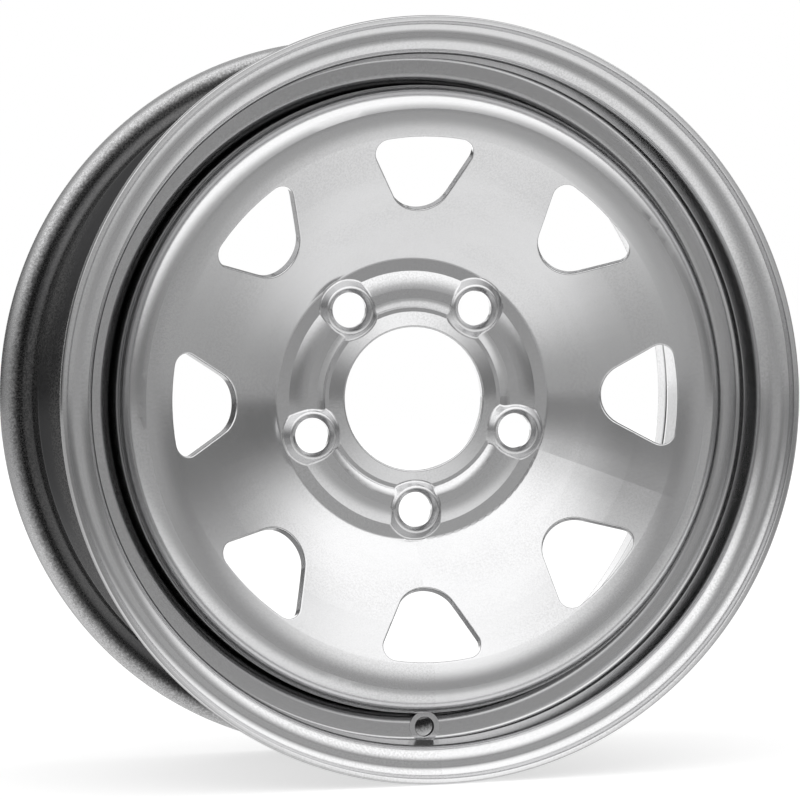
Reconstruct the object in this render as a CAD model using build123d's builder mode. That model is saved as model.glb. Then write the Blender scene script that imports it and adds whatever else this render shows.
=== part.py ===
"""Pressed steel road wheel, 16 inch by 7 inch, in millimetres.

A rolled rim, a pressed disc and the weld beads that join them. The wheel's axis is Y, its
outboard face looks toward -Y, +Z is up, and the origin is on the axis in the rim's centre
plane. The valve hole is straight down.
"""

from build123d import *

import math
import os

os.makedirs("parts", exist_ok=True)

# Rim: the standard contour for 16 by 7 inches, with J flanges and a hump on both bead seats
RIM_SHEET = 3.0
RIM_WIDTH = 177.8
BEAD_SEAT_R = 202.8
BEAD_TAPER = 5.0
CURL_ROUND = 9.5
CURL_CENTRE_R = 210.8
CURL_OVERTURN = 21.6
FLANGE_ROOT_ROUND = 6.5
SEAT_END_Y = 67.8
SEAT_END_ROUND = 4.0
HUMP_APEX_R, HUMP_APEX_Y = 204.6, 62.3
HUMP_ROUND = 5.0
SHOULDER_R, SHOULDER_Y = 198.0, 55.4
SHOULDER_ROUND = 6.0
WELL_R = 185.5
WELL_FRONT_Y, WELL_BACK_Y = -52.1, 22.5
WELL_FRONT_ROUND, WELL_BACK_ROUND = 5.0, 12.0
SHEET_EDGE_ROUND = 0.6

# Valve hole, and the flat coined round it in the wall between hump and well
VALVE_HOLE_R = 5.65
VALVE_CENTRE_R = 191.6
VALVE_PAD_R = 9.0
VALVE_PAD_HEIGHT = 57.6
VALVE_PAD_EDGE_R = 200.3
VALVE_CUT = 8.0

# Disc: one pressing of constant sheet, dished toward the outboard side
DISC_SHEET = 5.0
FACE_Y = -44.0
BLANK_R = 38.0
BORE_R = 42.05
BORE_EDGE_ROUND = 0.8
LIP_SLOPE = 16.5
LIP_FOOT_R = 51.2
RING_INNER_FOOT_R, RING_OUTER_FOOT_R = 53.5, 75.1
RING_INNER_WIDTH, RING_OUTER_WIDTH = 5.6, 10.6
RING_HEIGHT = 2.5
FACE_END_R = 82.0
ROOT_ROUND = 3.0
DISH_SLOPE_IN, DISH_SLOPE_OUT = 31.5, 22.0
DISH_ROUND = 180.0
CREST_ROUND = 40.0
EDGE_BEND_ROUND = 14.5
FLANGE_END_Y = -27.0

# Windows: rounded triangles, tip inward, pierced square to the sheet
WINDOW_COUNT = 8
WINDOW_MID_R, WINDOW_MID_HEIGHT = 131.0, 69.7
WINDOW_TILT = 25.2
WINDOW_REACH = 22.7
WINDOW_TIP_ROUND = 18.5
WINDOW_HALF_ANGLE = 28.5
WINDOW_ARC_ROUND = 151.0
WINDOW_CORNER_ROUND = 8.0
WINDOW_EDGE_ROUND = 0.8
PUNCH_TRAVEL = 14.0

# Bolt bosses, with heights measured outboard from the rim's centre plane
BOLT_COUNT = 5
BOLT_CIRCLE_R = 65.0
BOLT_HOLE_R = 10.3
SEAT_MOUTH_R = 12.4
SEAT_FLOOR_HEIGHT = 45.4
BOSS_HEIGHT = 48.2
BOSS_BASE_HEIGHT = 42.6
BOSS_BASE_R, BOSS_CROWN_R = 18.9, 13.4
BOSS_CROWN_ROUND = 2.2
BOSS_FOOT_ROUND = 1.5
POCKET_MOUTH_R, POCKET_FLOOR_R = 15.5, 14.0
POCKET_MOUTH_HEIGHT, POCKET_FLOOR_HEIGHT = 38.0, 41.6

# Weld beads in the corner behind the disc, between the windows
BEAD_COUNT = 8
BEAD_LEG = 4.5
BEAD_SWELL = 0.5
BEAD_SPAN = 22.0

# The first window, the first bolt hole and the valve hole are all straight down
FIRST_ANGLE = -90.0

# Places that follow from the rim's dimensions
FLANGE_Y = RIM_WIDTH / 2
CURL_CENTRE_Y = FLANGE_Y + CURL_ROUND
CURL_SWEEP = 90 + CURL_OVERTURN
SEAT_END_R = BEAD_SEAT_R - math.tan(math.radians(BEAD_TAPER)) * (FLANGE_Y - SEAT_END_Y)
WELL_UNDERSIDE_R = WELL_R - RIM_SHEET

# Places that follow from the disc's: the dish's straights bring its flange into the rim's well
LIP_START_Y = FACE_Y - math.tan(math.radians(LIP_SLOPE)) * (LIP_FOOT_R - BLANK_R)
ROOT_SINE = math.sin(math.radians(DISH_SLOPE_IN))
CREST_SINE = math.sin(math.radians(DISH_SLOPE_OUT))
DISH_START_R = FACE_END_R + ROOT_ROUND * ROOT_SINE
DISH_END_R = WELL_UNDERSIDE_R - EDGE_BEND_ROUND - CREST_ROUND * CREST_SINE
DISH_BEND_REACH = DISH_ROUND * (ROOT_SINE - CREST_SINE)
DISH_COSINES = math.cos(math.radians(DISH_SLOPE_IN)) + math.cos(math.radians(DISH_SLOPE_OUT))
DISH_STRAIGHT = (DISH_END_R - DISH_START_R - DISH_BEND_REACH) / DISH_COSINES
RING_INNER_TURN = 2 * math.degrees(math.atan2(RING_HEIGHT, RING_INNER_WIDTH))
RING_OUTER_TURN = 2 * math.degrees(math.atan2(RING_HEIGHT, RING_OUTER_WIDTH))
RING_INNER_ROUND = RING_INNER_WIDTH / math.sin(math.radians(RING_INNER_TURN))
RING_OUTER_ROUND = RING_OUTER_WIDTH / math.sin(math.radians(RING_OUTER_TURN))

# Places in a window's own outline, where x runs outward along the sheet
WINDOW_LEAN = math.radians(WINDOW_TILT)
WINDOW_FLARE = math.radians(WINDOW_HALF_ANGLE)
SIDE_START_X = WINDOW_TIP_ROUND * (1 - math.sin(WINDOW_FLARE)) - WINDOW_REACH
SIDE_START_Y = WINDOW_TIP_ROUND * math.cos(WINDOW_FLARE)
SIDE_END_X = SIDE_START_X + 2 * WINDOW_REACH
SIDE_END_Y = SIDE_START_Y + 2 * WINDOW_REACH * math.tan(WINDOW_FLARE)


def is_window_wall(face):
    """True for a face that the punch leaves, which is flat or round but never dished."""
    return face.geom_type in (GeomType.PLANE, GeomType.CYLINDER)


def is_outboard(edge):
    """True for an edge of a window's wall that lies on the outboard side of the sheet."""
    middle = edge.position_at(0.5)
    outward = math.hypot(middle.X, middle.Z) - WINDOW_MID_R
    height = -middle.Y - WINDOW_MID_HEIGHT
    return height * math.cos(WINDOW_LEAN) - outward * math.sin(WINDOW_LEAN) > -DISC_SHEET / 4


# Rim, rolled from one strip: front curl, bead seat, hump, well, hump, bead seat, back curl
with BuildPart() as rim:
    with BuildSketch(Plane.XY) as rim_section:
        with BuildLine():
            CenterArc((CURL_CENTRE_R, -CURL_CENTRE_Y), CURL_ROUND, -CURL_OVERTURN, CURL_SWEEP)
            FilletPolyline(
                (CURL_CENTRE_R, -FLANGE_Y),
                (BEAD_SEAT_R, -FLANGE_Y),
                (SEAT_END_R, -SEAT_END_Y),
                (HUMP_APEX_R, -HUMP_APEX_Y),
                (SHOULDER_R, -SHOULDER_Y),
                (WELL_R, WELL_FRONT_Y),
                (WELL_R, WELL_BACK_Y),
                (SHOULDER_R, SHOULDER_Y),
                (HUMP_APEX_R, HUMP_APEX_Y),
                (SEAT_END_R, SEAT_END_Y),
                (BEAD_SEAT_R, FLANGE_Y),
                (CURL_CENTRE_R, FLANGE_Y),
                radius=[
                    FLANGE_ROOT_ROUND, SEAT_END_ROUND, HUMP_ROUND, SHOULDER_ROUND, WELL_FRONT_ROUND,
                    WELL_BACK_ROUND, SHOULDER_ROUND, HUMP_ROUND, SEAT_END_ROUND, FLANGE_ROOT_ROUND,
                ],
            )
            CenterArc((CURL_CENTRE_R, CURL_CENTRE_Y), CURL_ROUND, -90, CURL_SWEEP)
            offset(amount=RIM_SHEET, side=Side.LEFT)
        make_face()
        strip_ends = rim_section.vertices().sort_by(Axis.Y)
        fillet(strip_ends[:2] + strip_ends[-2:], radius=SHEET_EDGE_ROUND)
    revolve(axis=Axis.Y)

    # The sheet round the valve hole is pressed flat, square to the axis
    with BuildSketch(Plane.XZ.offset(VALVE_PAD_HEIGHT)) as valve_pad:
        with Locations((0, -VALVE_CENTRE_R)):
            Circle(VALVE_PAD_R)
        with Locations((0, -VALVE_PAD_EDGE_R)):
            Rectangle(
                2 * VALVE_PAD_R, VALVE_PAD_R, align=(Align.CENTER, Align.MAX), mode=Mode.SUBTRACT
            )
    extrude(amount=-RIM_SHEET)
    extrude(valve_pad.sketch, amount=VALVE_CUT, mode=Mode.SUBTRACT)
    with BuildSketch(Plane.XZ.offset(VALVE_PAD_HEIGHT)):
        with Locations((0, -VALVE_CENTRE_R)):
            Circle(VALVE_HOLE_R)
    extrude(amount=VALVE_CUT, both=True, mode=Mode.SUBTRACT)
rim.part.label = "rim"
export_step(rim.part, "parts/rim.step")

# One bolt boss, in its own frame: +Z is outboard and +X points away from the wheel's axis
with BuildPart() as bolt_boss:
    with BuildSketch(Plane.XZ):
        with BuildLine():
            FilletPolyline(
                (0, BOSS_BASE_HEIGHT),
                (BOSS_BASE_R, BOSS_BASE_HEIGHT),
                (BOSS_CROWN_R, BOSS_HEIGHT),
                (0, BOSS_HEIGHT),
                radius=[0, BOSS_CROWN_ROUND],
            )
            Line((0, BOSS_HEIGHT), (0, BOSS_BASE_HEIGHT))
        make_face()
    revolve(axis=Axis.Z)

# What a boss is cut with: the nut seat, the bolt hole and the pocket pressed from behind
with BuildPart() as bolt_cut:
    with BuildSketch(Plane.XZ):
        with BuildLine():
            Polyline(
                (0, POCKET_MOUTH_HEIGHT),
                (POCKET_MOUTH_R, POCKET_MOUTH_HEIGHT),
                (POCKET_FLOOR_R, POCKET_FLOOR_HEIGHT),
                (BOLT_HOLE_R, POCKET_FLOOR_HEIGHT),
                (BOLT_HOLE_R, SEAT_FLOOR_HEIGHT),
                (SEAT_MOUTH_R, BOSS_HEIGHT),
                (0, BOSS_HEIGHT),
                close=True,
            )
        make_face()
    revolve(axis=Axis.Z)

# One window punch, in a frame like the boss's, leaning so that it meets the sheet squarely
with BuildPart() as window_punch:
    punch_plane = Plane(
        origin=(0, 0, WINDOW_MID_HEIGHT),
        x_dir=(math.cos(WINDOW_LEAN), 0, math.sin(WINDOW_LEAN)),
        z_dir=(-math.sin(WINDOW_LEAN), 0, math.cos(WINDOW_LEAN)),
    )
    with BuildSketch(punch_plane) as window_outline:
        with BuildLine():
            ThreePointArc(
                (SIDE_START_X, -SIDE_START_Y), (-WINDOW_REACH, 0), (SIDE_START_X, SIDE_START_Y)
            )
            Polyline(
                (SIDE_START_X, SIDE_START_Y),
                (SIDE_END_X, SIDE_END_Y),
                (SIDE_END_X, -SIDE_END_Y),
                (SIDE_START_X, -SIDE_START_Y),
            )
        make_face()
        with Locations((WINDOW_REACH - WINDOW_ARC_ROUND, 0)):
            Circle(WINDOW_ARC_ROUND, mode=Mode.INTERSECT)
        fillet(window_outline.vertices().sort_by(Axis.X)[-2:], radius=WINDOW_CORNER_ROUND)
    extrude(amount=PUNCH_TRAVEL, both=True)

# Disc, pressed from one blank: bore lip, hub ring, mounting face, dish, crest and flange
with BuildPart(Plane.XZ) as wheel_disc:
    with BuildSketch(Plane.XY.rotated((0, 180 / WINDOW_COUNT, 0))):
        with BuildLine():
            lip = Line((BLANK_R, LIP_START_Y), (LIP_FOOT_R, FACE_Y))
            valley = Line(lip @ 1, (RING_INNER_FOOT_R, FACE_Y))
            rise = JernArc(
                valley @ 1,
                Vector(1, 0).rotate(Axis.Z, -RING_INNER_TURN),
                RING_INNER_ROUND,
                RING_INNER_TURN,
            )
            fall = JernArc(
                (RING_OUTER_FOOT_R, FACE_Y),
                Vector(-1, 0).rotate(Axis.Z, RING_OUTER_TURN),
                RING_OUTER_ROUND,
                -RING_OUTER_TURN,
            )
            Line(rise @ 1, fall @ 1)
            face = Line(fall @ 0, (FACE_END_R, FACE_Y))
            root = JernArc(face @ 1, face % 1, ROOT_ROUND, -DISH_SLOPE_IN)
            dish_in = PolarLine(root @ 1, DISH_STRAIGHT, direction=root % 1)
            dish = JernArc(dish_in @ 1, dish_in % 1, DISH_ROUND, DISH_SLOPE_IN - DISH_SLOPE_OUT)
            dish_out = PolarLine(dish @ 1, DISH_STRAIGHT, direction=dish % 1)
            crest = JernArc(dish_out @ 1, dish_out % 1, CREST_ROUND, DISH_SLOPE_OUT)
            bend = JernArc(crest @ 1, crest % 1, EDGE_BEND_ROUND, 90)
            Line(bend @ 1, (WELL_UNDERSIDE_R, FLANGE_END_Y))
            offset(amount=DISC_SHEET, side=Side.LEFT)
        make_face()
    revolve(axis=Axis.Y)

    # Five bosses are raised on the hub ring with soft feet, and each is pierced for its bolt
    with PolarLocations(BOLT_CIRCLE_R, BOLT_COUNT, start_angle=FIRST_ANGLE):
        add(bolt_boss.part)
    fillet(wheel_disc.edges(Select.NEW), radius=BOSS_FOOT_ROUND)
    with PolarLocations(BOLT_CIRCLE_R, BOLT_COUNT, start_angle=FIRST_ANGLE):
        add(bolt_cut.part, mode=Mode.SUBTRACT)

    # The bore is turned true, with its outboard edge broken
    Cylinder(BORE_R, 2 * RIM_WIDTH, mode=Mode.SUBTRACT)
    bore_edge = wheel_disc.edges(Select.LAST).filter_by(GeomType.CIRCLE).sort_by(Axis.Y)[0]
    fillet(bore_edge, radius=BORE_EDGE_ROUND)

    # The windows are punched from the outboard side, which draws that edge in a little
    with PolarLocations(WINDOW_MID_R, WINDOW_COUNT, start_angle=FIRST_ANGLE):
        add(window_punch.part, mode=Mode.SUBTRACT)
    window_walls = wheel_disc.faces(Select.LAST).filter_by(is_window_wall)
    fillet(window_walls.edges().filter_by(is_outboard), radius=WINDOW_EDGE_ROUND)
wheel_disc.part.label = "wheel_disc"
export_step(wheel_disc.part, "parts/wheel_disc.step")

# One bead, a fillet whose face swells a little, in a frame like the boss's
with BuildPart() as weld_bead:
    with BuildSketch(Plane.XZ):
        with BuildLine():
            corner = (WELL_UNDERSIDE_R, -FLANGE_END_Y)
            disc_toe = (WELL_UNDERSIDE_R - BEAD_LEG, -FLANGE_END_Y)
            rim_toe = (WELL_UNDERSIDE_R, -FLANGE_END_Y - BEAD_LEG)
            Polyline(rim_toe, corner, disc_toe)
            SagittaArc(disc_toe, rim_toe, -BEAD_SWELL)
        make_face()
    revolve(axis=Axis.Z, revolution_arc=BEAD_SPAN)

# The ring of beads, each midway between two windows
with BuildPart(Plane.XZ) as disc_weld_beads:
    with PolarLocations(0, BEAD_COUNT, start_angle=FIRST_ANGLE + (360 / BEAD_COUNT - BEAD_SPAN) / 2):
        add(weld_bead.part)
disc_weld_beads.part.label = "disc_weld_beads"
export_step(disc_weld_beads.part, "parts/disc_weld_beads.step")
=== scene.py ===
"""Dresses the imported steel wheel: a rolled rim, silver paint, dust, rippled welds and a studio.

All lengths are metres. The wheel's axis is Y, its outboard face looks toward -Y and +Z is up.
"""

import logging
import math
from collections.abc import Callable, Iterable
from dataclasses import dataclass
from enum import Enum

import bmesh
import bpy
from mathutils import Matrix, Vector


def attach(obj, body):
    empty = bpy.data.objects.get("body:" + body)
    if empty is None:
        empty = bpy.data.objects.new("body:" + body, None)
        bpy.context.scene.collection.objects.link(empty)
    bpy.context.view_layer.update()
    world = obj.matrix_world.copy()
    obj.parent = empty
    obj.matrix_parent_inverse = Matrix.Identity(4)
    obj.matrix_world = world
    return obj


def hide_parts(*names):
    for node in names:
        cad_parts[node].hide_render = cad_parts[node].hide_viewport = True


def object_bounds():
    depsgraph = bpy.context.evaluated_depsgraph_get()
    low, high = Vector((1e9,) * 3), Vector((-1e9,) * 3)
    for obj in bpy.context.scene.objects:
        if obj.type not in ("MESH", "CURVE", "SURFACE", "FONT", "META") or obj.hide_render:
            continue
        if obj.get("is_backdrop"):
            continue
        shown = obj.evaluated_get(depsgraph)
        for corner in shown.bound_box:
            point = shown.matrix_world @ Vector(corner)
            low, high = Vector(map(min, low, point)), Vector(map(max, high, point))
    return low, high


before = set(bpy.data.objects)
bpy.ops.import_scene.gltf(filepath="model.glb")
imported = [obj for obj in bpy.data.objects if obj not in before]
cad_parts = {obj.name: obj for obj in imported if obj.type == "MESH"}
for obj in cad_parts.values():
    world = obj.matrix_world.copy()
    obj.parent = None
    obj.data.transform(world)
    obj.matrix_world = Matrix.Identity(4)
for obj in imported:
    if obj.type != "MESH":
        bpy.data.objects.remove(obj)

log = logging.getLogger("steel_wheel")

AXLE = Vector((0.0, 1.0, 0.0))
CENTRE = Vector((0.0, 0.0, 0.0))
UP = Vector((0.0, 0.0, 1.0))
WHITE = (1.0, 1.0, 1.0, 1.0)
BODY = "root"
FULL_TURN = 2 * math.pi
SMOOTH_ANGLE = math.radians(40.0)
BROAD_FACE_WEIGHT = 60
MERGE_DISTANCE = 1e-7
ROUND_SEGMENTS = 3

Input = bpy.types.NodeSocket | float | tuple | Vector
Setting = str | bpy.types.NodeTree


class Node(Enum):
    """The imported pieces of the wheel."""

    RIM = "rim"
    DISC = "wheel_disc"
    BEADS = "disc_weld_beads"


class Slot(Enum):
    """The material slots that the record names."""

    RIM = "rim_paint"
    DISC = "disc_paint"
    BEADS = "bead_paint"


class RimSide(Enum):
    """The sides of the rim's strip and its hole, by their place among the piece's materials."""

    SHOWN = 0
    UNDER_TYRE = 1
    IN_HOLE = 2


class NodeSheet:
    """A node tree with short ways to add nodes and join them."""

    def __init__(self, tree: bpy.types.NodeTree) -> None:
        """Keeps the tree that the methods add to."""
        self.tree = tree

    def join(self, socket: bpy.types.NodeSocket, value: Input) -> None:
        """Joins a socket to the value where that is a socket, or else stores the value in it.

        Args:
            socket: the input to fill.
            value: what goes into it.
        """
        if isinstance(value, bpy.types.NodeSocket):
            self.tree.links.new(value, socket)
        else:
            socket.default_value = value

    def add(
        self, kind: str, inputs: dict[str | int, Input] | None = None, **settings: Setting
    ) -> bpy.types.Node:
        """Adds one node.

        Args:
            kind: the node's type without its leading "ShaderNode".
            inputs: what goes into its sockets, by their names or numbers.
            settings: the node's own properties.

        Returns:
            The new node.
        """
        node = self.tree.nodes.new("ShaderNode" + kind)
        for name, value in settings.items():
            setattr(node, name, value)
        for name, value in (inputs or {}).items():
            self.join(node.inputs[name], value)
        return node

    def math(self, operation: str, first: Input, second: Input = 0.0) -> bpy.types.NodeSocket:
        """Adds a Math node and returns its result."""
        return self.add("Math", {0: first, 1: second}, operation=operation).outputs[0]

    def length(self, first: Input, second: Input) -> bpy.types.NodeSocket:
        """Gives the length of a line from its two parts at a right angle to each other.

        Args:
            first: the one part.
            second: the other part.

        Returns:
            The length.
        """
        squares = self.math(
            "ADD", self.math("MULTIPLY", first, first), self.math("MULTIPLY", second, second)
        )
        return self.math("SQRT", squares)

    def noise(self, place: Input, scale: Input, detail: float) -> bpy.types.NodeSocket:
        """Adds a Noise texture and returns its value."""
        node = self.add("TexNoise", {"Vector": place, "Scale": scale, "Detail": detail})
        return node.outputs["Fac"]

    def ease(
        self, value: Input, low: Input, high: Input, start: Input = 0.0, end: Input = 1.0
    ) -> bpy.types.NodeSocket:
        """Turns a value that runs between two others into one that eases from start to end.

        Args:
            value: the value to turn.
            low: where it gives the start.
            high: where it gives the end.
            start: the result at the low value and under it.
            end: the result at the high value and over it.

        Returns:
            The eased value.
        """
        node = self.add(
            "MapRange",
            {"Value": value, "From Min": low, "From Max": high, "To Min": start, "To Max": end},
            interpolation_type="SMOOTHSTEP",
        )
        return node.outputs["Result"]

    def curve(self, value: Input, points: Iterable[tuple[float, float]]) -> bpy.types.NodeSocket:
        """Reads a value off a smooth line of greys.

        Args:
            value: where to read, from 0 to 1.
            points: pairs of a place and the grey there, both from 0 to 1.

        Returns:
            The grey.
        """
        node = self.add("ValToRGB", {"Fac": value})
        node.color_ramp.interpolation = "CARDINAL"
        elements = node.color_ramp.elements
        for count, (place, grey) in enumerate(points):
            element = elements[count] if count < len(elements) else elements.new(place)
            element.position = place
            element.color = (grey, grey, grey, 1.0)
        return node.outputs["Color"]

    def mix(self, share: Input, under: Input, over: Input) -> bpy.types.NodeSocket:
        """Lays one colour over another.

        Args:
            share: how much of the upper colour shows, from 0 to 1.
            under: the lower colour.
            over: the upper colour.

        Returns:
            The mixed colour.
        """
        node = self.add("Mix", data_type="RGBA")
        for socket, value in zip((node.inputs[0], node.inputs[6], node.inputs[7]), (share, under, over)):
            self.join(socket, value)
        return node.outputs[2]

    def around_axle(self, vector: Input) -> tuple[bpy.types.NodeSocket, ...]:
        """Splits a place into its parts round the axle and along it.

        Args:
            vector: the place.

        Returns:
            Its turn round the axle, its distance from it and its y.
        """
        place = self.add("SeparateXYZ", {"Vector": vector})
        across, upward = place.outputs["X"], place.outputs["Z"]
        return self.math("ARCTAN2", across, upward), self.length(across, upward), place.outputs["Y"]


def make_group(
    name: str,
    inputs: dict[str, float],
    outputs: Iterable[str],
    fill: Callable[[NodeSheet, dict, dict], None],
) -> bpy.types.ShaderNodeTree:
    """Makes a shader node group, or returns it where it has been made before.

    Args:
        name: the group's name.
        inputs: each input's value, besides the place on the surface, which is always there.
        outputs: the names of its outputs.
        fill: adds the nodes between the group's inputs and outputs.

    Returns:
        The group's tree.
    """
    if name in bpy.data.node_groups:
        return bpy.data.node_groups[name]
    tree = bpy.data.node_groups.new(name, "ShaderNodeTree")
    tree.interface.new_socket("Place", in_out="INPUT", socket_type="NodeSocketVector")
    for label, value in inputs.items():
        socket = tree.interface.new_socket(label, in_out="INPUT", socket_type="NodeSocketFloat")
        socket.default_value = value
    for label in outputs:
        tree.interface.new_socket(label, in_out="OUTPUT", socket_type="NodeSocketFloat")
    given = tree.nodes.new("NodeGroupInput").outputs
    result = tree.nodes.new("NodeGroupOutput").inputs
    fill(NodeSheet(tree), given, result)
    return tree


def paint_grain() -> bpy.types.ShaderNodeTree:
    """Makes the group for metallic paint: flakes, orange peel and a cloudy change of tone.

    Returns:
        The group's tree.
    """

    def fill(sheet: NodeSheet, given: dict, result: dict) -> None:
        """Adds the nodes of the flakes, the peel and the clouds.

        Args:
            sheet: the group's tree.
            given: the group's inputs, by their names.
            result: the group's outputs, by their names.
        """
        place = given["Place"]
        flakes = sheet.add("TexVoronoi", {"Vector": place, "Scale": given["Flake Scale"]})
        peel = sheet.noise(place, given["Peel Scale"], detail=2.0)
        cloud = sheet.noise(place, given["Cloud Scale"], detail=4.0)
        flake = sheet.add("SeparateColor", {"Color": flakes.outputs["Color"]})
        glint = sheet.math("SUBTRACT", flake.outputs["Red"], 0.5)
        drift = sheet.math("SUBTRACT", cloud, 0.5)
        glint = sheet.math("MULTIPLY", glint, given["Flake Depth"])
        drift = sheet.math("MULTIPLY", drift, given["Cloud Depth"])
        sheet.join(result["Shade"], sheet.math("ADD", sheet.math("ADD", glint, drift), 1.0))
        sheet.join(result["Drift"], drift)
        sheet.join(result["Height"], peel)

    sizes = {
        "Flake Scale": 2200.0,
        "Flake Depth": 0.05,
        "Peel Scale": 380.0,
        "Cloud Scale": 8.0,
        "Cloud Depth": 0.1,
    }
    return make_group("paint_grain", sizes, ("Shade", "Drift", "Height"), fill)


def road_dust() -> bpy.types.ShaderNodeTree:
    """Makes the group for dust: a speckled mask in patches, drawn out round the wheel's axle.

    Returns:
        The group's tree.
    """

    def fill(sheet: NodeSheet, given: dict, result: dict) -> None:
        """Adds the nodes of the patches and the speckle in them.

        Args:
            sheet: the group's tree.
            given: the group's inputs, by their names.
            result: the group's outputs, by their names.
        """
        turn, reach, depth = sheet.around_axle(given["Place"])
        drawn = sheet.add(
            "CombineXYZ", {"X": sheet.math("MULTIPLY", turn, given["Draw"]), "Y": depth, "Z": reach}
        )
        patches = sheet.noise(drawn.outputs[0], given["Patch Scale"], detail=6.0)
        speckle = sheet.noise(given["Place"], given["Grit Scale"], detail=3.0)
        cover = sheet.ease(patches, given["Patch Start"], given["Patch End"])
        grit = sheet.ease(speckle, given["Grit Start"], given["Grit End"], given["Grit Least"])
        mask = sheet.math("MULTIPLY", sheet.math("MULTIPLY", cover, grit), given["Amount"])
        sheet.join(result["Mask"], mask)
        sheet.join(result["Grit"], grit)

    sizes = {
        "Amount": 0.5,
        "Draw": 0.03,
        "Patch Scale": 30.0,
        "Patch Start": 0.36,
        "Patch End": 0.64,
        "Grit Scale": 900.0,
        "Grit Start": 0.40,
        "Grit End": 0.62,
        "Grit Least": 0.2,
    }
    return make_group("road_dust", sizes, ("Mask", "Grit"), fill)


def edge_wear() -> bpy.types.ShaderNodeTree:
    """Makes the group for paint rubbed thin in a broken ring round the wheel's axle.

    Returns:
        The group's tree.
    """

    def fill(sheet: NodeSheet, given: dict, result: dict) -> None:
        """Adds the nodes of the ring and the chips that break it.

        Args:
            sheet: the group's tree.
            given: the group's inputs, by their names.
            result: the group's outputs, by their names.
        """
        reach = sheet.around_axle(given["Place"])[1]
        away = sheet.math("ABSOLUTE", sheet.math("SUBTRACT", reach, given["Radius"]))
        near = sheet.math("SUBTRACT", 1.0, sheet.math("DIVIDE", away, given["Width"]))
        chips = sheet.noise(given["Place"], given["Chip Scale"], detail=5.0)
        worn = sheet.math("ADD", near, sheet.math("MULTIPLY", chips, given["Chip Depth"]))
        sheet.join(result["Mask"], sheet.ease(worn, given["Worn Start"], given["Worn End"]))

    sizes = {
        "Radius": 0.2,
        "Width": 0.001,
        "Chip Scale": 220.0,
        "Chip Depth": 1.4,
        "Worn Start": 1.45,
        "Worn End": 1.75,
    }
    return make_group("edge_wear", sizes, ("Mask",), fill)


def overspray() -> bpy.types.ShaderNodeTree:
    """Makes the group for silver that thins out toward the axle and lets the undercoat show.

    Returns:
        The group's tree.
    """

    def fill(sheet: NodeSheet, given: dict, result: dict) -> None:
        """Adds the nodes of the mist at the edge of the silver.

        Args:
            sheet: the group's tree.
            given: the group's inputs, by their names.
            result: the group's outputs, by their names.
        """
        reach = sheet.around_axle(given["Place"])[1]
        mist = sheet.noise(given["Place"], given["Mist Scale"], detail=8.0)
        band = sheet.math("SUBTRACT", given["Full"], given["Bare"])
        spread = sheet.math("MULTIPLY", sheet.math("SUBTRACT", mist, 0.5), band)
        covered = sheet.ease(sheet.math("ADD", reach, spread), given["Bare"], given["Full"])
        sheet.join(result["Undercoat And Shade"], sheet.math("SUBTRACT", 1.0, covered))

    sizes = {"Bare": 0.0, "Full": 0.001, "Mist Scale": 700.0}
    return make_group("overspray", sizes, ("Undercoat And Shade",), fill)


def painted_groove_shade() -> bpy.types.ShaderNodeTree:
    """Makes the group for painted shade toward the bottom of a groove round the axle, where partly the
    paint also grows thin.

    Returns:
        The group's tree.
    """

    def fill(sheet: NodeSheet, given: dict, result: dict) -> None:
        """Adds the nodes of the distance from the groove's bottom.

        Args:
            sheet: the group's tree.
            given: the group's inputs, by their names.
            result: the group's outputs, by their names.
        """
        reach, depth = sheet.around_axle(given["Place"])[1:]
        across = sheet.math("SUBTRACT", reach, given["Radius"])
        along = sheet.math("SUBTRACT", depth, given["Y"])
        mist = sheet.noise(given["Place"], given["Mist Scale"], detail=6.0)
        spread = sheet.math("MULTIPLY", sheet.math("SUBTRACT", mist, 0.5), given["Mist"])
        away = sheet.math("ADD", sheet.length(across, along), spread)
        groove_shade = sheet.ease(away, given["Near"], given["Far"], given["Share"], 0.0)
        sheet.join(result["Undercoat And Shade"], groove_shade)

    sizes = {
        "Radius": 0.18,
        "Y": 0.0,
        "Near": 0.003,
        "Far": 0.01,
        "Share": 0.9,
        "Mist": 0.0008,
        "Mist Scale": 900.0,
    }
    return make_group("painted_groove_shade", sizes, ("Undercoat And Shade",), fill)


@dataclass(frozen=True)
class Groove:
    """A groove round the axle whose paint darkens toward its bottom, partly painted shade and partly
    spray that didn't fill it: its bottom and how far it's felt.
    """

    radius: float
    y: float
    near: float
    far: float
    share: float

    def inputs(self) -> dict[str, float]:
        """Gives the inputs of the group for the groove's painted shade."""
        return {
            "Radius": self.radius,
            "Y": self.y,
            "Near": self.near,
            "Far": self.far,
            "Share": self.share,
        }


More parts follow.
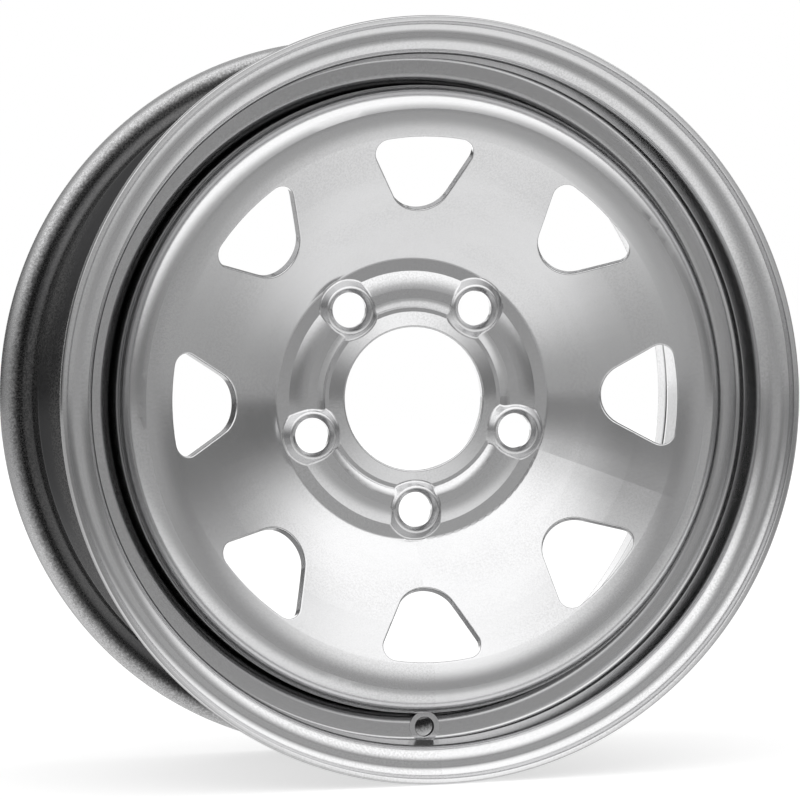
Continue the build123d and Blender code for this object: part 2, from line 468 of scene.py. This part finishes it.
@dataclass(frozen=True)
class WheelPaint:
    """Silver wheel paint over steel, with flakes, orange peel, thin spray, rubbed edges, dust and
    painted shade in grooves.
    """

    name: str
    base: tuple[float, float, float] = (0.68, 0.68, 0.685)
    rubbed: tuple[float, float, float] = (0.6, 0.595, 0.59)
    dust: tuple[float, float, float] = (0.22, 0.215, 0.21)
    metallic: float = 1.0
    roughness: float = 0.155
    drift_roughness: float = 0.4
    coat: float = 0.08
    coat_roughness: float = 0.15
    flake_depth: float = 0.05
    cloud_depth: float = 0.1
    peel_height: float = 0.00001
    dust_amount: float = 0.0
    dust_patches: float = 30.0
    dust_roughness: float = 0.35
    rubbed_radius: float = 0.2193
    rubbed_width: float = 0.0003
    undercoat_and_shade: tuple[float, float, float] = (0.02, 0.02, 0.021)
    bare_radius: float = 0.0
    full_radius: float = 0.001
    grooves: tuple[Groove, ...] = ()

    def make(self) -> bpy.types.Material:
        """Makes the material.

        Returns:
            The material, named after the finish.
        """
        material = bpy.data.materials.new(self.name)
        material.use_nodes = True
        sheet = NodeSheet(material.node_tree)
        shader = material.node_tree.nodes["Principled BSDF"]
        place = {"Place": sheet.add("TexCoord").outputs["Object"]}
        grain = sheet.add("Group", node_tree=paint_grain())
        dust = sheet.add("Group", node_tree=road_dust())
        wear = sheet.add("Group", node_tree=edge_wear())
        spray = sheet.add("Group", node_tree=overspray())
        settings = (
            (spray, {"Bare": self.bare_radius, "Full": self.full_radius}),
            (grain, {"Flake Depth": self.flake_depth, "Cloud Depth": self.cloud_depth}),
            (dust, {"Amount": self.dust_amount, "Patch Scale": self.dust_patches}),
            (wear, {"Radius": self.rubbed_radius, "Width": self.rubbed_width}),
        )
        for group, values in settings:
            for name, value in (place | values).items():
                sheet.join(group.inputs[name], value)
        tone = sheet.add("VectorMath", {"Scale": grain.outputs["Shade"]}, operation="SCALE")
        tone.inputs[0].default_value = self.base
        colour = sheet.mix(wear.outputs["Mask"], tone.outputs[0], (*self.rubbed, 1.0))
        colour = sheet.mix(spray.outputs["Undercoat And Shade"], colour, (*self.undercoat_and_shade, 1.0))
        # Painted shade in grooves, partly undercoat that the spray didn't reach: each darkens the colour
        # toward the groove's bottom.
        for groove in self.grooves:
            groove_shade = sheet.add("Group", place | groove.inputs(), node_tree=painted_groove_shade())
            colour = sheet.mix(groove_shade.outputs["Undercoat And Shade"], colour, (*self.undercoat_and_shade, 1.0))
        dusty = dust.outputs["Mask"]
        sheet.join(shader.inputs["Base Color"], sheet.mix(dusty, colour, (*self.dust, 1.0)))
        clean = sheet.math("SUBTRACT", 1.0, dusty)
        sheet.join(shader.inputs["Metallic"], sheet.math("MULTIPLY", clean, self.metallic))
        rough = sheet.math("MULTIPLY", grain.outputs["Drift"], self.drift_roughness)
        rough = sheet.math("ADD", rough, self.roughness)
        rough = sheet.math("ADD", rough, sheet.math("MULTIPLY", dusty, self.dust_roughness))
        sheet.join(shader.inputs["Roughness"], rough)
        sheet.join(shader.inputs["Coat Weight"], sheet.math("MULTIPLY", clean, self.coat))
        shader.inputs["Coat Roughness"].default_value = self.coat_roughness
        peel = {"Height": grain.outputs["Height"], "Strength": 1.0, "Distance": self.peel_height}
        bump = sheet.add("Bump", peel)
        sheet.join(shader.inputs["Normal"], bump.outputs["Normal"])
        return material


def add_object(name: str, data: bpy.types.ID) -> bpy.types.Object:
    """Makes an object of its data and puts it into the scene.

    Args:
        name: the object's name.
        data: its mesh, light or camera.

    Returns:
        The object.
    """
    added = bpy.data.objects.new(name, data)
    bpy.context.scene.collection.objects.link(added)
    return added


def store_mesh(mesh: bmesh.types.BMesh, name: str) -> bpy.types.Mesh:
    """Stores a finished mesh under a name and frees it.

    Args:
        mesh: the finished mesh.
        name: the name to store it under.

    Returns:
        The stored mesh.
    """
    data = bpy.data.meshes.new(name)
    mesh.to_mesh(data)
    mesh.free()
    return data


def draw_line(
    mesh: bmesh.types.BMesh, places: Iterable[Vector | tuple[float, float, float]], closed: bool = False
) -> list[bmesh.types.BMVert]:
    """Draws a line of edges.

    Args:
        mesh: the mesh to draw in.
        places: the line's points, in their order.
        closed: whether the last point is joined to the first.

    Returns:
        The line's vertices.
    """
    line = [mesh.verts.new(place) for place in places]
    ends = line[1:] + line[:1] if closed else line[1:]
    for start, end in zip(line, ends):
        mesh.edges.new((start, end))
    return line


def turn_full(mesh: bmesh.types.BMesh, steps: int, centre: Vector = CENTRE) -> None:
    """Turns a mesh's line all the way round an axis along Y and joins its seam.

    Args:
        mesh: the mesh that holds the line alone.
        steps: how many faces the result has round the axis.
        centre: a point of the axis.
    """
    bmesh.ops.spin(
        mesh,
        geom=mesh.verts[:] + mesh.edges[:],
        cent=centre,
        axis=AXLE,
        angle=FULL_TURN,
        steps=steps,
        use_merge=True,
    )
    bmesh.ops.remove_doubles(mesh, verts=mesh.verts[:], dist=MERGE_DISTANCE)
    bmesh.ops.recalc_face_normals(mesh, faces=mesh.faces[:])


def close_ends(mesh: bmesh.types.BMesh) -> None:
    """Closes a mesh's open ends with faces and turns all its faces outward."""
    bmesh.ops.holes_fill(mesh, edges=[edge for edge in mesh.edges if edge.is_boundary])
    bmesh.ops.recalc_face_normals(mesh, faces=mesh.faces[:])


def toward(azimuth: float, elevation: float) -> Vector:
    """Gives the direction from the wheel to a place round it.

    Args:
        azimuth: its turn in degrees, from the wheel's front to +X.
        elevation: its height in degrees over the horizon.

    Returns:
        The direction, one long.
    """
    turn, rise = math.radians(azimuth), math.radians(elevation)
    return Vector((math.sin(turn) * math.cos(rise), -math.cos(turn) * math.cos(rise), math.sin(rise)))


def finish_piece(
    mesh: bmesh.types.BMesh, name: str, node: Node, materials: list[bpy.types.Material]
) -> bpy.types.Object:
    """Makes an object of a finished mesh and gives it its place in the frame.

    Args:
        mesh: the finished mesh, which is freed here.
        name: the piece's name.
        node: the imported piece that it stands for.
        materials: its materials, in the order of its faces' numbers.

    Returns:
        The piece.
    """
    data = store_mesh(mesh, name)
    for material in materials:
        data.materials.append(material)
    piece = add_object(name, data)
    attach(piece, BODY)
    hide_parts(node.value)
    return piece


def shade_smooth(piece: bpy.types.Object) -> None:
    """Shades a piece smoothly, with its broad faces keeping their own direction.

    Args:
        piece: the finished piece.
    """
    for polygon in piece.data.polygons:
        polygon.use_smooth = True
    piece.data.set_sharp_from_angle(angle=SMOOTH_ANGLE)
    weigh = piece.modifiers.new("broad_faces_lead", "WEIGHTED_NORMAL")
    weigh.keep_sharp = True
    weigh.weight = BROAD_FACE_WEIGHT


@dataclass(frozen=True)
class Corner:
    """A corner of the strip's section: its distance from the axle, its y and its rounding."""

    radius: float
    y: float
    rounding: float = 0.0

    def mirrored(self) -> "Corner":
        """Gives the same corner on the back of the wheel."""
        return Corner(self.radius, -self.y, self.rounding)

    def place(self) -> Vector:
        """Gives its place in the plane of X and Y."""
        return Vector((self.radius, self.y, 0.0))


@dataclass
class RolledRim:
    """The rim, rolled from one strip: curl, bead seat, hump and well, then hump, seat and curl."""

    sheet: float = 0.003
    curl_start: Corner = Corner(0.2108, -0.0889)
    front: tuple[Corner, ...] = (
        Corner(0.2028, -0.0889, 0.0065),
        Corner(0.200954, -0.0678, 0.004),
        Corner(0.2046, -0.0623, 0.005),
        Corner(0.2009, -0.0548, 0.006),
    )
    well: tuple[Corner, ...] = (Corner(0.1855, -0.0539, 0.005), Corner(0.1855, 0.0225, 0.012))
    curl_round: float = 0.0095
    curl_turn: float = 111.6
    curl_steps: int = 18
    arc_step: float = 7.0
    edge_round: float = 0.0006
    turns: int = 320
    tool_sides: int = 72
    valve_r: float = 0.1916
    valve_hole_r: float = 0.00565
    valve_edge: float = 0.0005
    valve_edge_steps: int = 4
    coin_r: float = 0.009
    coin_y: float = -0.0576
    coin_chord_r: float = 0.2003
    coin_cut: float = 0.008

    def draw_strip(self, mesh: bmesh.types.BMesh) -> None:
        """Draws the strip's tyre side as one line in the plane of X and Y, its corners rounded.

        Args:
            mesh: the empty mesh to draw in.
        """
        behind = [corner.mirrored() for corner in (self.curl_start, *self.front)]
        corners = [self.curl_start, *self.front, *self.well, *reversed(behind)]
        line = draw_line(mesh, (corner.place() for corner in corners))
        turns = [
            (vertex.co - before.co).angle(after.co - vertex.co)
            for before, vertex, after in zip(line, line[1:], line[2:])
        ]
        for side, tip in ((-1.0, line[0]), (1.0, line[-1])):
            bmesh.ops.spin(
                mesh,
                geom=[tip],
                cent=tip.co + Vector((0.0, side * self.curl_round, 0.0)),
                axis=Vector((0.0, 0.0, side)),
                angle=math.radians(self.curl_turn),
                steps=self.curl_steps,
                use_merge=False,
            )
        for vertex, corner, turn in zip(line[1:-1], corners[1:-1], turns):
            bmesh.ops.bevel(
                mesh,
                geom=[vertex],
                offset=corner.rounding * math.tan(turn / 2),
                offset_type="OFFSET",
                segments=max(ROUND_SEGMENTS, round(math.degrees(turn) / self.arc_step)),
                profile=0.5,
                material=-1,
                affect="VERTICES",
            )

    def roll(self) -> bmesh.types.BMesh:
        """Rolls the strip into a ring, thickens it toward the axle and numbers its sides.

        Returns:
            The ring's mesh, without the work at the valve hole.
        """
        mesh = bmesh.new()
        self.draw_strip(mesh)
        turn_full(mesh, self.turns)
        well = min(mesh.faces, key=lambda face: face.calc_center_median().xz.length)
        if well.normal.xz.dot(well.calc_center_median().xz) < 0.0:
            bmesh.ops.reverse_faces(mesh, faces=mesh.faces[:])
        for face in mesh.faces:
            if face.calc_center_median().y > self.curl_start.y - self.edge_round:
                face.material_index = RimSide.UNDER_TYRE.value
        tyre_side = set(mesh.faces)
        made = bmesh.ops.solidify(mesh, geom=mesh.faces[:], thickness=self.sheet)["geom"]
        shown_side = {item for item in made if isinstance(item, bmesh.types.BMFace)}
        for face in shown_side:
            face.material_index = RimSide.SHOWN.value
        ends = set(mesh.faces) - tyre_side - shown_side
        borders = [edge for edge in mesh.edges if sum(face in ends for face in edge.link_faces) == 1]
        bmesh.ops.bevel(
            mesh,
            geom=borders,
            offset=self.edge_round,
            offset_type="OFFSET",
            segments=ROUND_SEGMENTS,
            profile=0.5,
            material=-1,
            affect="EDGES",
        )
        return mesh

    def turned_tool(self, outline: Iterable[tuple[float, float]]) -> bmesh.types.BMesh:
        """Makes a round tool whose own axis runs along Y through the valve hole's middle.

        Args:
            outline: pairs of a radius and a y, with a radius of 0 at both ends.

        Returns:
            The tool's mesh.
        """
        mesh = bmesh.new()
        draw_line(mesh, ((radius, y, -self.valve_r) for radius, y in outline))
        turn_full(mesh, self.tool_sides, Vector((0.0, 0.0, -self.valve_r)))
        return mesh

    def coin_block(self, front_y: float, back_y: float) -> bmesh.types.BMesh:
        """Makes the round block of the coined flat, cut off at its chord.

        Args:
            front_y: the y of its front.
            back_y: the y of its back.

        Returns:
            The block's mesh.
        """
        outline = ((0.0, front_y), (self.coin_r, front_y), (self.coin_r, back_y), (0.0, back_y))
        mesh = self.turned_tool(outline)
        bmesh.ops.bisect_plane(
            mesh,
            geom=mesh.verts[:] + mesh.edges[:] + mesh.faces[:],
            plane_co=Vector((0.0, 0.0, -self.coin_chord_r)),
            plane_no=-UP,
            clear_outer=True,
        )
        close_ends(mesh)
        return mesh

    def valve_drill(self) -> bmesh.types.BMesh:
        """Makes the drill for the valve hole, which breaks the hole's front edge.

        Returns:
            The drill's mesh.
        """
        mouth_y = self.coin_y
        quarter = math.pi / 2
        wide = self.valve_hole_r + self.valve_edge
        outline = [(0.0, mouth_y - self.coin_cut), (wide, mouth_y - self.coin_cut), (wide, mouth_y)]
        outline += [
            (
                wide - self.valve_edge * math.sin(turn),
                mouth_y + self.valve_edge * (1.0 - math.cos(turn)),
            )
            for turn in (
                quarter * step / self.valve_edge_steps for step in range(1, self.valve_edge_steps + 1)
            )
        ]
        back_y = mouth_y + self.coin_cut
        return self.turned_tool([*outline, (self.valve_hole_r, back_y), (0.0, back_y)])

    def work_valve(self, piece: bpy.types.Object) -> None:
        """Presses the flat for the valve into the rim, drills its hole and gives the hole's bore its
        painted shade.

        Args:
            piece: the rim, whose mesh is replaced by the worked one.
        """
        coined = self.coin_block(self.coin_y, self.coin_y + self.sheet)
        pressed = self.coin_block(self.coin_y - self.coin_cut, self.coin_y)
        steps = (("UNION", coined), ("DIFFERENCE", pressed), ("DIFFERENCE", self.valve_drill()))
        tools = []
        for operation, mesh in steps:
            tool = add_object("valve_tool", store_mesh(mesh, "valve_tool"))
            cut = piece.modifiers.new("valve_" + operation.lower(), "BOOLEAN")
            cut.operation = operation
            cut.solver = "MANIFOLD"
            cut.object = tool
            tools.append(tool)
        graph = bpy.context.evaluated_depsgraph_get()
        worked = bpy.data.meshes.new_from_object(piece.evaluated_get(graph))
        piece.modifiers.clear()
        piece.data = worked
        worked.name = piece.name
        for tool in tools:
            bpy.data.objects.remove(tool)
        middle = Vector((0.0, self.coin_y, -self.valve_r))
        for polygon in worked.polygons:
            away = polygon.center - middle
            in_hole = away.xz.length < self.valve_hole_r + self.valve_edge / 4
            if in_hole and abs(away.y) < self.coin_cut:
                polygon.material_index = RimSide.IN_HOLE.value

    def build(self) -> bpy.types.Object:
        """Makes the rim with its two finishes and the valve hole's painted shade.

        Returns:
            The rim.
        """
        # Painted shade in the groove between the disc and the rim, dark at its bottom and faint over the
        # wall, partly undercoat that the spray didn't reach.
        grooves = (
            Groove(0.1825, -0.052, near=0.0005, far=0.004, share=0.5),
            Groove(0.1825, -0.052, near=0.012, far=0.022, share=0.1),
        )
        shown = WheelPaint("rim_silver", dust_amount=0.12, grooves=grooves).make()
        under_tyre = WheelPaint(
            "tyre_side_grime_and_shade",
            base=(0.6, 0.6, 0.605),
            roughness=0.22,
            coat=0.0,
            flake_depth=0.3,
            peel_height=0.00004,
            dust_amount=0.4,
            undercoat_and_shade=(0.075, 0.075, 0.077),
            # The undercoat reaching out to the rear curl is partly two-tone paint and partly painted
            # shade, darkening the rear flange seen through the valve hole.
            bare_radius=0.211,
            full_radius=0.218,
        ).make()
        # Painted shade: the valve hole's bore is near-black, for the deep shadow in the hole.
        in_hole = WheelPaint(
            "valve_hole_painted_shade",
            base=(0.02, 0.02, 0.02),
            metallic=0.0,
            roughness=0.85,
            coat=0.0,
            flake_depth=0.0,
        ).make()
        rim_materials = [shown, under_tyre, in_hole]
        piece = finish_piece(self.roll(), "rolled_rim", Node.RIM, rim_materials)
        self.work_valve(piece)
        shade_smooth(piece)
        return piece


@dataclass
class PressedDisc:
    """The disc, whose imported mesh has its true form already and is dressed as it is."""

    def build(self) -> bpy.types.Object:
        """Paints the disc.

        Returns:
            The disc.
        """
        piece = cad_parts[Node.DISC.value]
        piece.data.materials.clear()
        # Painted shade on the disc's flange and bend in the groove by the rim, partly undercoat that the
        # spray didn't reach.
        grooves = (Groove(0.1825, -0.052, near=0.01, far=0.018, share=0.8),)
        paint = WheelPaint("disc_silver", dust_amount=0.08, grooves=grooves)
        piece.data.materials.append(paint.make())
        return piece


@dataclass
class WeldBeads:
    """The rippled weld beads in the corner behind the disc's flange, between the windows."""

    count: int = 8
    corner_r: float = 0.1825
    corner_y: float = -0.027
    leg: float = 0.0045
    swell: float = 0.0005
    face_points: int = 8
    span: float = math.radians(22.0)
    ripple_length: float = 0.0016
    ripple_depth: float = 0.09
    end_length: float = 0.004
    end_size: float = 0.3
    steps: int = 176

    def section(self) -> list[tuple[float, float]]:
        """Gives the bead's section, from the corner round its face.

        Returns:
            Pairs of a radius and a y.
        """
        points = [(self.corner_r, self.corner_y)]
        for step in range(self.face_points + 1):
            share = step / self.face_points
            out = self.swell * 4.0 * share * (1.0 - share) * math.sqrt(0.5)
            across = self.leg * share + out
            along = self.leg * (1.0 - share) + out
            points.append((self.corner_r - across, self.corner_y + along))
        return points

    def size_at(self, along: float) -> float:
        """Gives the bead's size at a place along it.

        Args:
            along: the place's distance from the bead's start.

        Returns:
            The size there, as a share of its full size.
        """
        length = self.corner_r * self.span
        short = 1.0 - min(along, length - along, self.end_length) / self.end_length
        taper = self.end_size + (1.0 - self.end_size) * math.sqrt(max(0.0, 1.0 - short * short))
        return taper * (1.0 - self.ripple_depth * (along / self.ripple_length % 1.0))

    def lay_bead(self) -> bmesh.types.BMesh:
        """Makes one bead from the plane of X and Y on, its slices drawn in toward the corner.

        Returns:
            The bead's mesh.
        """
        mesh = bmesh.new()
        draw_line(mesh, ((radius, y, 0.0) for radius, y in self.section()), closed=True)
        bmesh.ops.spin(
            mesh,
            geom=mesh.verts[:] + mesh.edges[:],
            cent=CENTRE,
            axis=AXLE,
            angle=self.span,
            steps=self.steps,
            use_merge=False,
        )
        for vertex in mesh.verts:
            place = vertex.co
            reach = place.xz.length
            size = self.size_at(abs(math.atan2(place.z, place.x)) * self.corner_r)
            drawn = (self.corner_r + (reach - self.corner_r) * size) / reach
            along = self.corner_y + (place.y - self.corner_y) * size
            vertex.co = Vector((place.x * drawn, along, place.z * drawn))
        close_ends(mesh)
        return mesh

    def build(self) -> bpy.types.Object:
        """Makes all the beads as one piece, the first one half a pitch past the +X side.

        Returns:
            The piece.
        """
        mesh = self.lay_bead()
        pitch = FULL_TURN / self.count
        bmesh.ops.rotate(
            mesh,
            verts=mesh.verts[:],
            cent=CENTRE,
            matrix=Matrix.Rotation((pitch - self.span) / 2.0, 3, AXLE),
        )
        bmesh.ops.spin(
            mesh,
            geom=mesh.verts[:] + mesh.edges[:] + mesh.faces[:],
            cent=CENTRE,
            axis=AXLE,
            angle=FULL_TURN - pitch,
            steps=self.count - 1,
            use_duplicate=True,
        )
        paint = WheelPaint(
            "bead_silver",
            base=(0.58, 0.58, 0.585),
            roughness=0.28,
            flake_depth=0.2,
            peel_height=0.00003,
            dust_amount=0.35,
            dust_patches=60.0,
        )
        piece = finish_piece(mesh, "rippled_beads", Node.BEADS, [paint.make()])
        shade_smooth(piece)
        return piece


@dataclass(frozen=True)
class PhotoCamera:
    """The camera that took the reference picture, as fitted to it, with its angles in degrees."""

    azimuth: float = -15.816
    elevation: float = 1.395
    roll: float = -0.881
    distance: float = 2.204264
    focal_pixels: float = 3682.568
    centre: tuple[float, float] = (392.673, 397.221)
    picture: float = 800.0
    sensor: float = 36.0

    def build(self) -> bpy.types.Object:
        """Makes the camera, turns it to the wheel and gives it to the scene.

        Returns:
            The camera.
        """
        roll = math.radians(self.roll)
        away = toward(self.azimuth, self.elevation)
        side = UP.cross(away).normalized()
        above = away.cross(side)
        across = side * math.cos(roll) + above * math.sin(roll)
        upward = above * math.cos(roll) - side * math.sin(roll)
        data = bpy.data.cameras.new("photo_camera")
        data.sensor_width = self.sensor
        data.lens = self.focal_pixels * self.sensor / self.picture
        data.shift_x = 0.5 - self.centre[0] / self.picture
        data.shift_y = self.centre[1] / self.picture - 0.5
        camera = add_object("photo_camera", data)
        turned = Matrix((across, upward, away)).transposed().to_4x4()
        camera.matrix_world = Matrix.Translation(away * self.distance) @ turned
        bpy.context.scene.camera = camera
        return camera


@dataclass(frozen=True)
class Softbox:
    """A soft lamp in the sky: its direction and width in degrees, and what it adds at its middle."""

    azimuth: float
    elevation: float
    width: float
    strength: float

    def direction(self) -> Vector:
        """Gives the direction to the lamp's middle."""
        return toward(self.azimuth, self.elevation)

    def power(self) -> float:
        """Gives the power of the cosine that halves the light at the lamp's width."""
        return math.log(0.5) / math.log(math.cos(math.radians(self.width)))


@dataclass
class Studio:
    """A plain pale studio: a bright sky that is dimmer behind, soft lamps, a white floor and a card."""

    floor_z: float
    floor_size: float = 12.0
    floor_colour: float = 0.5
    floor_glow: float = 0.66
    floor_roughness: float = 0.9
    floor_specular: float = 0.1
    shine: float = 0.6
    shine_start: float = 0.16
    shine_end: float = 0.68
    sky: float = 1.45
    sky_start: float = 0.09
    sky_end: float = 0.66
    back_sky: float = 0.3
    back_start: float = -0.35
    back_end: float = 0.5
    horizon: tuple[tuple[float, float], ...] = (
        (-180.0, 0.25),
        (-165.0, 0.10),
        (-145.0, 0.08),
        (-125.0, 0.14),
        (-105.0, 0.24),
        (-80.0, 0.28),
        (-50.0, 0.27),
        (-28.0, 0.23),
        (-12.0, 0.24),
        (12.0, 0.31),
        (45.0, 0.23),
        (80.0, 0.18),
        (112.0, 0.15),
        (150.0, 0.10),
        (180.0, 0.25),
    )
    softboxes: tuple[Softbox, ...] = (
        Softbox(16.0, 24.0, 14.0, 0.45),
        Softbox(-50.0, 32.0, 14.0, 0.35),
        Softbox(180.0, 17.0, 5.0, 0.9),
    )
    backdrop_start: float = 0.985
    backdrop_end: float = 0.995
    card_size: float = 0.34
    card_y: float = 0.5
    card_power: float = 0.3

    def hang_sky(self) -> None:
        """Lights the world: a sky over a dimmer horizon, both dim behind the wheel, with soft lamps.

        The camera sees plain white, and so do reflections that look straight to the back.
        """
        world = bpy.data.worlds.new("studio")
        bpy.context.scene.world = world
        world.use_nodes = True
        sheet = NodeSheet(world.node_tree)
        way = sheet.add("TexCoord").outputs["Generated"]
        parts = sheet.add("SeparateXYZ", {"Vector": way})
        across, along, upward = (parts.outputs[name] for name in "XYZ")
        ahead = sheet.math("MULTIPLY", along, -1.0)
        turn = sheet.math("DIVIDE", sheet.math("ARCTAN2", across, ahead), FULL_TURN)
        stops = [(azimuth / 360.0 + 0.5, grey) for azimuth, grey in self.horizon]
        low = sheet.curve(sheet.math("ADD", turn, 0.5), stops)
        for box in self.softboxes:
            aim = sheet.add("VectorMath", {0: way, 1: box.direction()}, operation="DOT_PRODUCT")
            facing = sheet.math("MAXIMUM", aim.outputs["Value"], 0.0)
            lit = sheet.math("MULTIPLY", sheet.math("POWER", facing, box.power()), box.strength)
            low = sheet.math("ADD", low, lit)
        lit = sheet.ease(upward, self.sky_start, self.sky_end)
        dim = sheet.ease(along, self.back_start, self.back_end, 1.0, self.back_sky)
        light = sheet.mix(sheet.math("MULTIPLY", lit, dim), low, (*(self.sky,) * 3, 1.0))
        path = sheet.add("LightPath").outputs
        back = sheet.ease(along, self.backdrop_start, self.backdrop_end)
        backdrop = sheet.math("MULTIPLY", path["Is Glossy Ray"], back)
        seen = sheet.math("MAXIMUM", path["Is Camera Ray"], path["Is Transmission Ray"])
        seen = sheet.math("MAXIMUM", seen, backdrop)
        colour = sheet.mix(seen, light, WHITE)
        sheet.join(world.node_tree.nodes["Background"].inputs["Color"], colour)

    def lay_floor(self) -> bpy.types.Object:
        """Lays the floor, which shows white and keeps the wheel's shadow.

        Returns:
            The floor.
        """
        mesh = bmesh.new()
        bmesh.ops.create_grid(mesh, x_segments=1, y_segments=1, size=self.floor_size / 2)
        bmesh.ops.translate(mesh, verts=mesh.verts[:], vec=Vector((0.0, 0.0, self.floor_z)))
        floor = add_object("floor", store_mesh(mesh, "floor"))
        floor.data.materials.append(self.floor_material())
        floor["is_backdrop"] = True
        return floor

    def floor_material(self) -> bpy.types.Material:
        """Makes the floor's white, which shines where the wheel's paint looks down at it.

        Returns:
            The material.
        """
        material = bpy.data.materials.new("studio_floor")
        material.use_nodes = True
        sheet = NodeSheet(material.node_tree)
        shader = material.node_tree.nodes["Principled BSDF"]
        shader.inputs["Base Color"].default_value = (*(self.floor_colour,) * 3, 1.0)
        shader.inputs["Roughness"].default_value = self.floor_roughness
        shader.inputs["Specular IOR Level"].default_value = self.floor_specular
        shader.inputs["Emission Color"].default_value = WHITE
        path = sheet.add("LightPath").outputs
        steep = sheet.math("SUBTRACT", 1.0, sheet.add("LayerWeight").outputs["Facing"])
        shine = sheet.ease(steep, self.shine_start, self.shine_end, 0.0, self.shine)
        shine = sheet.math("MULTIPLY", shine, path["Is Glossy Ray"])
        seen = sheet.math("MAXIMUM", path["Is Camera Ray"], path["Is Transmission Ray"])
        glow = sheet.math("ADD", shine, sheet.math("MULTIPLY", seen, self.floor_glow))
        sheet.join(shader.inputs["Emission Strength"], glow)
        return material

    def hang_card(self) -> bpy.types.Object:
        """Hangs a soft light behind the wheel, which shows in the barrel's inside.

        Returns:
            The light.
        """
        data = bpy.data.lights.new("back_card", "AREA")
        data.shape = "SQUARE"
        data.size = self.card_size
        data.energy = self.card_power
        card = add_object("back_card", data)
        card.location = (0.0, self.card_y, 0.0)
        card.rotation_euler = (math.radians(-90.0), 0.0, 0.0)
        card.visible_camera = False
        return card

    def build(self) -> None:
        """Sets up the light, the floor and the card."""
        self.hang_sky()
        self.lay_floor()
        self.hang_card()


def main() -> None:
    """Builds the wheel's pieces, then the studio and the camera."""
    logging.basicConfig(level=logging.INFO, format="%(name)s: %(message)s")
    lowest = cad_box[0].z
    bpy.context.scene.view_settings.view_transform = "Standard"
    for assembly in (RolledRim(), PressedDisc(), WeldBeads()):
        piece = assembly.build()
        log.info("%s: %d faces", piece.name, len(piece.data.polygons))
    Studio(floor_z=lowest).build()
    PhotoCamera().build()


if __name__ == "__main__":
    cad_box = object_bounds()
    main()
